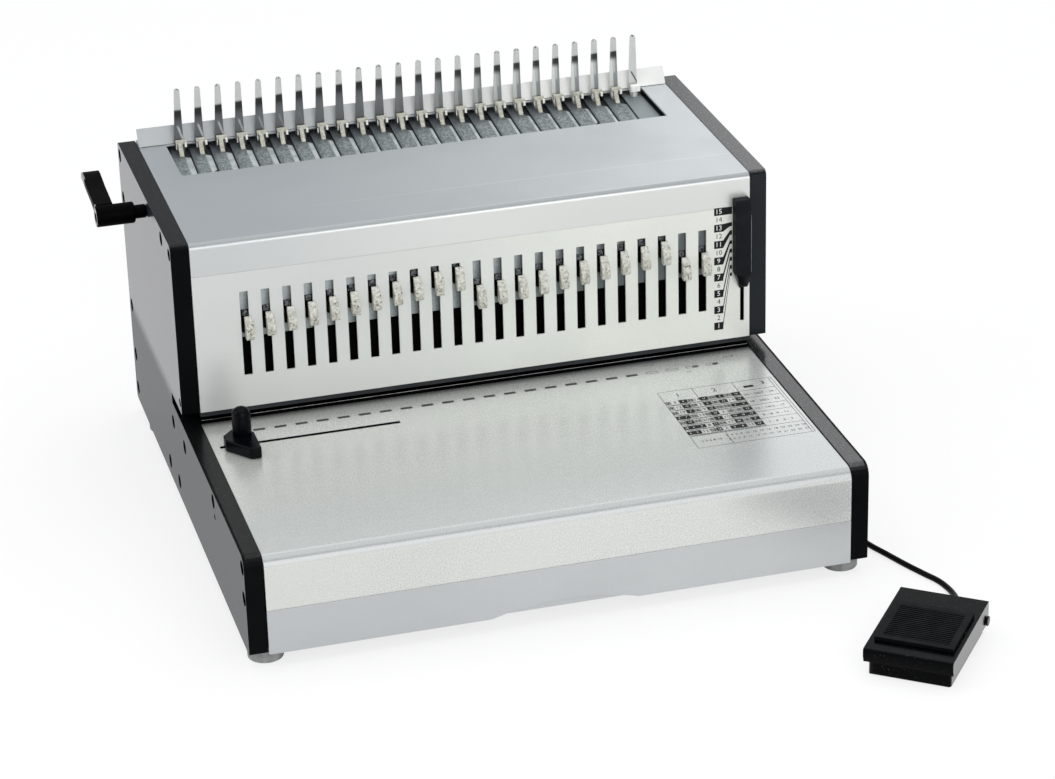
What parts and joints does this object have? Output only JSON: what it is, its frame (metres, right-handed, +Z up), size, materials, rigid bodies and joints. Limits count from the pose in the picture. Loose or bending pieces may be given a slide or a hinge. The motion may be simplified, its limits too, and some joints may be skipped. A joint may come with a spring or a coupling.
{
  "type": "electric comb binding machine",
  "caption": "Desktop comb binding machine: slotted punch tower with pull tabs, finger comb, opening lever, waste drawer, and a corded foot pedal.",
  "frame": {"origin": "on the table, at the middle of the box of the machine and its pedal, without the cord", "axes": "+Z up, +Y from the front towards the back, +X to the right as the user faces the machine"},
  "size_m": [0.4844, 0.6351, 0.2439],
  "materials": {
    "satin_silver": "satin silver paint on bent sheet",
    "zinc": "zinc-plated steel",
    "chrome": "bright plated",
    "steel": "turned steel",
    "motor_metal": "cast and machined",
    "black_paint": "fine textured black paint",
    "black_plastic": "moulded black",
    "pale_sheet": "white enamel",
    "ivory": "moulded ivory",
    "grey_rubber": "matt grey",
    "black_rubber": "matt black",
    "board": "green board"
  },
  "bodies": {
    "frame": {"left_side_plate": "black_paint", "right_side_plate": "black_paint", "base_cover": "satin_silver", "bottom_plate": "zinc", "front_panel": "satin_silver", "top_cover": "satin_silver", "rear_cover": "satin_silver", "document_rest": "pale_sheet", "finger_comb": "chrome", "die_block": "black_paint", "drive_motor": "motor_metal", "control_board": "board", "mains_inlet": "black_plastic", "foot_front_left": "grey_rubber", "foot_front_right": "grey_rubber", "foot_rear_left": "grey_rubber", "foot_rear_right": "grey_rubber", "cord_gland": "black_rubber", "pedal_base": "black_paint", "pedal_pivot_pin": "steel", "pedal_switch": "black_plastic", "pedal_cord_boot": "black_rubber", "cord_from_gland": "black_rubber", "cord_coil": "black_rubber", "cord_to_pedal": "black_rubber"},
    "drawer": {"waste_drawer": "satin_silver"},
    "shaft": {"drive_shaft": "steel"},
    "punch": {"punch_bar": "zinc"},
    "rocker": {"power_switch": "black_plastic"},
    "lever": {"lever_shaft": "steel", "lever_handle": "black_plastic"},
    "hooks": {"hook_plate": "zinc"},
    "stop": {"size_stop": "black_plastic"},
    "guide": {"edge_guide": "black_plastic"},
    "knob": {"edge_guide_knob": "black_plastic"},
    "treadle": {"pedal_treadle": "black_paint", "pedal_tread_pad": "black_rubber"},
    "pull_01": {"pin_pull_01": "ivory"},
    "pull_02": {"pin_pull_02": "ivory"},
    "pull_03": {"pin_pull_03": "ivory"},
    "pull_04": {"pin_pull_04": "ivory"},
    "pull_05": {"pin_pull_05": "ivory"},
    "pull_06": {"pin_pull_06": "ivory"},
    "pull_07": {"pin_pull_07": "ivory"},
    "pull_08": {"pin_pull_08": "ivory"},
    "pull_09": {"pin_pull_09": "ivory"},
    "pull_10": {"pin_pull_10": "ivory"},
    "pull_11": {"pin_pull_11": "ivory"},
    "pull_12": {"pin_pull_12": "ivory"},
    "pull_13": {"pin_pull_13": "ivory"},
    "pull_14": {"pin_pull_14": "ivory"},
    "pull_15": {"pin_pull_15": "ivory"},
    "pull_16": {"pin_pull_16": "ivory"},
    "pull_17": {"pin_pull_17": "ivory"},
    "pull_18": {"pin_pull_18": "ivory"},
    "pull_19": {"pin_pull_19": "ivory"},
    "pull_20": {"pin_pull_20": "ivory"},
    "pull_21": {"pin_pull_21": "ivory"},
    "pull_22": {"pin_pull_22": "ivory"},
    "pull_23": {"pin_pull_23": "ivory"}
  },
  "joints": [
    {"name": "drawer_slide", "type": "slide", "parent": "frame", "child": "drawer", "axis": [0, -1, 0], "range_m": [0, 0.066]},
    {"name": "shaft_turn", "type": "hinge", "parent": "frame", "child": "shaft", "pos_m": [-0.00506, 0.13001, 0.15], "axis": [1, 0, 0], "range_deg": [0, 180]},
    {"name": "punch_slide", "type": "slide", "parent": "frame", "child": "punch", "axis": [0, 0, -1], "range_m": [0, 0.02]},
    {"name": "switch_rock", "type": "hinge", "parent": "frame", "child": "rocker", "pos_m": [0.04594, 0.27281, 0.044], "axis": [1, 0, 0], "range_deg": [0, 16]},
    {"name": "lever_turn", "type": "hinge", "parent": "frame", "child": "lever", "pos_m": [-0.00506, 0.16801, 0.1955], "axis": [1, 0, 0], "range_deg": [0, 80]},
    {"name": "hook_slide", "type": "slide", "parent": "frame", "child": "hooks", "axis": [0, -1, 0], "range_m": [0, 0.016]},
    {"name": "stop_slide", "type": "slide", "parent": "frame", "child": "stop", "axis": [0, 0, 1], "range_m": [-0.025, 0]},
    {"name": "guide_slide", "type": "slide", "parent": "frame", "child": "guide", "axis": [1, 0, 0], "range_m": [-0.005, 0.1]},
    {"name": "knob_turn", "type": "hinge", "parent": "guide", "child": "knob", "pos_m": [-0.17566, 0.03981, 0.09], "axis": [0, 0, 1], "range_deg": [0, 180]},
    {"name": "treadle_press", "type": "hinge", "parent": "frame", "child": "treadle", "pos_m": [0.21656, -0.20198, 0.009], "axis": [0.7891, -0.6143, 0], "range_deg": [0, 3.5], "stiffness_Nm_per_rad": 0.4, "springref_deg": -17.19},
    {"name": "pull_01_slide", "type": "slide", "parent": "punch", "child": "pull_01", "axis": [0, -1, 0], "range_m": [0, 0.005]},
    {"name": "pull_02_slide", "type": "slide", "parent": "punch", "child": "pull_02", "axis": [0, -1, 0], "range_m": [0, 0.005]},
    {"name": "pull_03_slide", "type": "slide", "parent": "punch", "child": "pull_03", "axis": [0, -1, 0], "range_m": [0, 0.005]},
    {"name": "pull_04_slide", "type": "slide", "parent": "punch", "child": "pull_04", "axis": [0, -1, 0], "range_m": [0, 0.005]},
    {"name": "pull_05_slide", "type": "slide", "parent": "punch", "child": "pull_05", "axis": [0, -1, 0], "range_m": [0, 0.005]},
    {"name": "pull_06_slide", "type": "slide", "parent": "punch", "child": "pull_06", "axis": [0, -1, 0], "range_m": [0, 0.005]},
    {"name": "pull_07_slide", "type": "slide", "parent": "punch", "child": "pull_07", "axis": [0, -1, 0], "range_m": [0, 0.005]},
    {"name": "pull_08_slide", "type": "slide", "parent": "punch", "child": "pull_08", "axis": [0, -1, 0], "range_m": [0, 0.005]},
    {"name": "pull_09_slide", "type": "slide", "parent": "punch", "child": "pull_09", "axis": [0, -1, 0], "range_m": [0, 0.005]},
    {"name": "pull_10_slide", "type": "slide", "parent": "punch", "child": "pull_10", "axis": [0, -1, 0], "range_m": [0, 0.005]},
    {"name": "pull_11_slide", "type": "slide", "parent": "punch", "child": "pull_11", "axis": [0, -1, 0], "range_m": [0, 0.005]},
    {"name": "pull_12_slide", "type": "slide", "parent": "punch", "child": "pull_12", "axis": [0, -1, 0], "range_m": [0, 0.005]},
    {"name": "pull_13_slide", "type": "slide", "parent": "punch", "child": "pull_13", "axis": [0, -1, 0], "range_m": [0, 0.005]},
    {"name": "pull_14_slide", "type": "slide", "parent": "punch", "child": "pull_14", "axis": [0, -1, 0], "range_m": [0, 0.005]},
    {"name": "pull_15_slide", "type": "slide", "parent": "punch", "child": "pull_15", "axis": [0, -1, 0], "range_m": [0, 0.005]},
    {"name": "pull_16_slide", "type": "slide", "parent": "punch", "child": "pull_16", "axis": [0, -1, 0], "range_m": [0, 0.005]},
    {"name": "pull_17_slide", "type": "slide", "parent": "punch", "child": "pull_17", "axis": [0, -1, 0], "range_m": [0, 0.005]},
    {"name": "pull_18_slide", "type": "slide", "parent": "punch", "child": "pull_18", "axis": [0, -1, 0], "range_m": [0, 0.005]},
    {"name": "pull_19_slide", "type": "slide", "parent": "punch", "child": "pull_19", "axis": [0, -1, 0], "range_m": [0, 0.005]},
    {"name": "pull_20_slide", "type": "slide", "parent": "punch", "child": "pull_20", "axis": [0, -1, 0], "range_m": [0, 0.005]},
    {"name": "pull_21_slide", "type": "slide", "parent": "punch", "child": "pull_21", "axis": [0, -1, 0], "range_m": [0, 0.005]},
    {"name": "pull_22_slide", "type": "slide", "parent": "punch", "child": "pull_22", "axis": [0, -1, 0], "range_m": [0, 0.005]},
    {"name": "pull_23_slide", "type": "slide", "parent": "punch", "child": "pull_23", "axis": [0, -1, 0], "range_m": [0, 0.005]}
  ],
  "couplings": [
    {"joint": "shaft_turn", "follows": "punch_slide", "rad_per_m": 157.08},
    {"joint": "lever_turn", "follows": "hook_slide", "rad_per_m": 87.266}
  ]
}
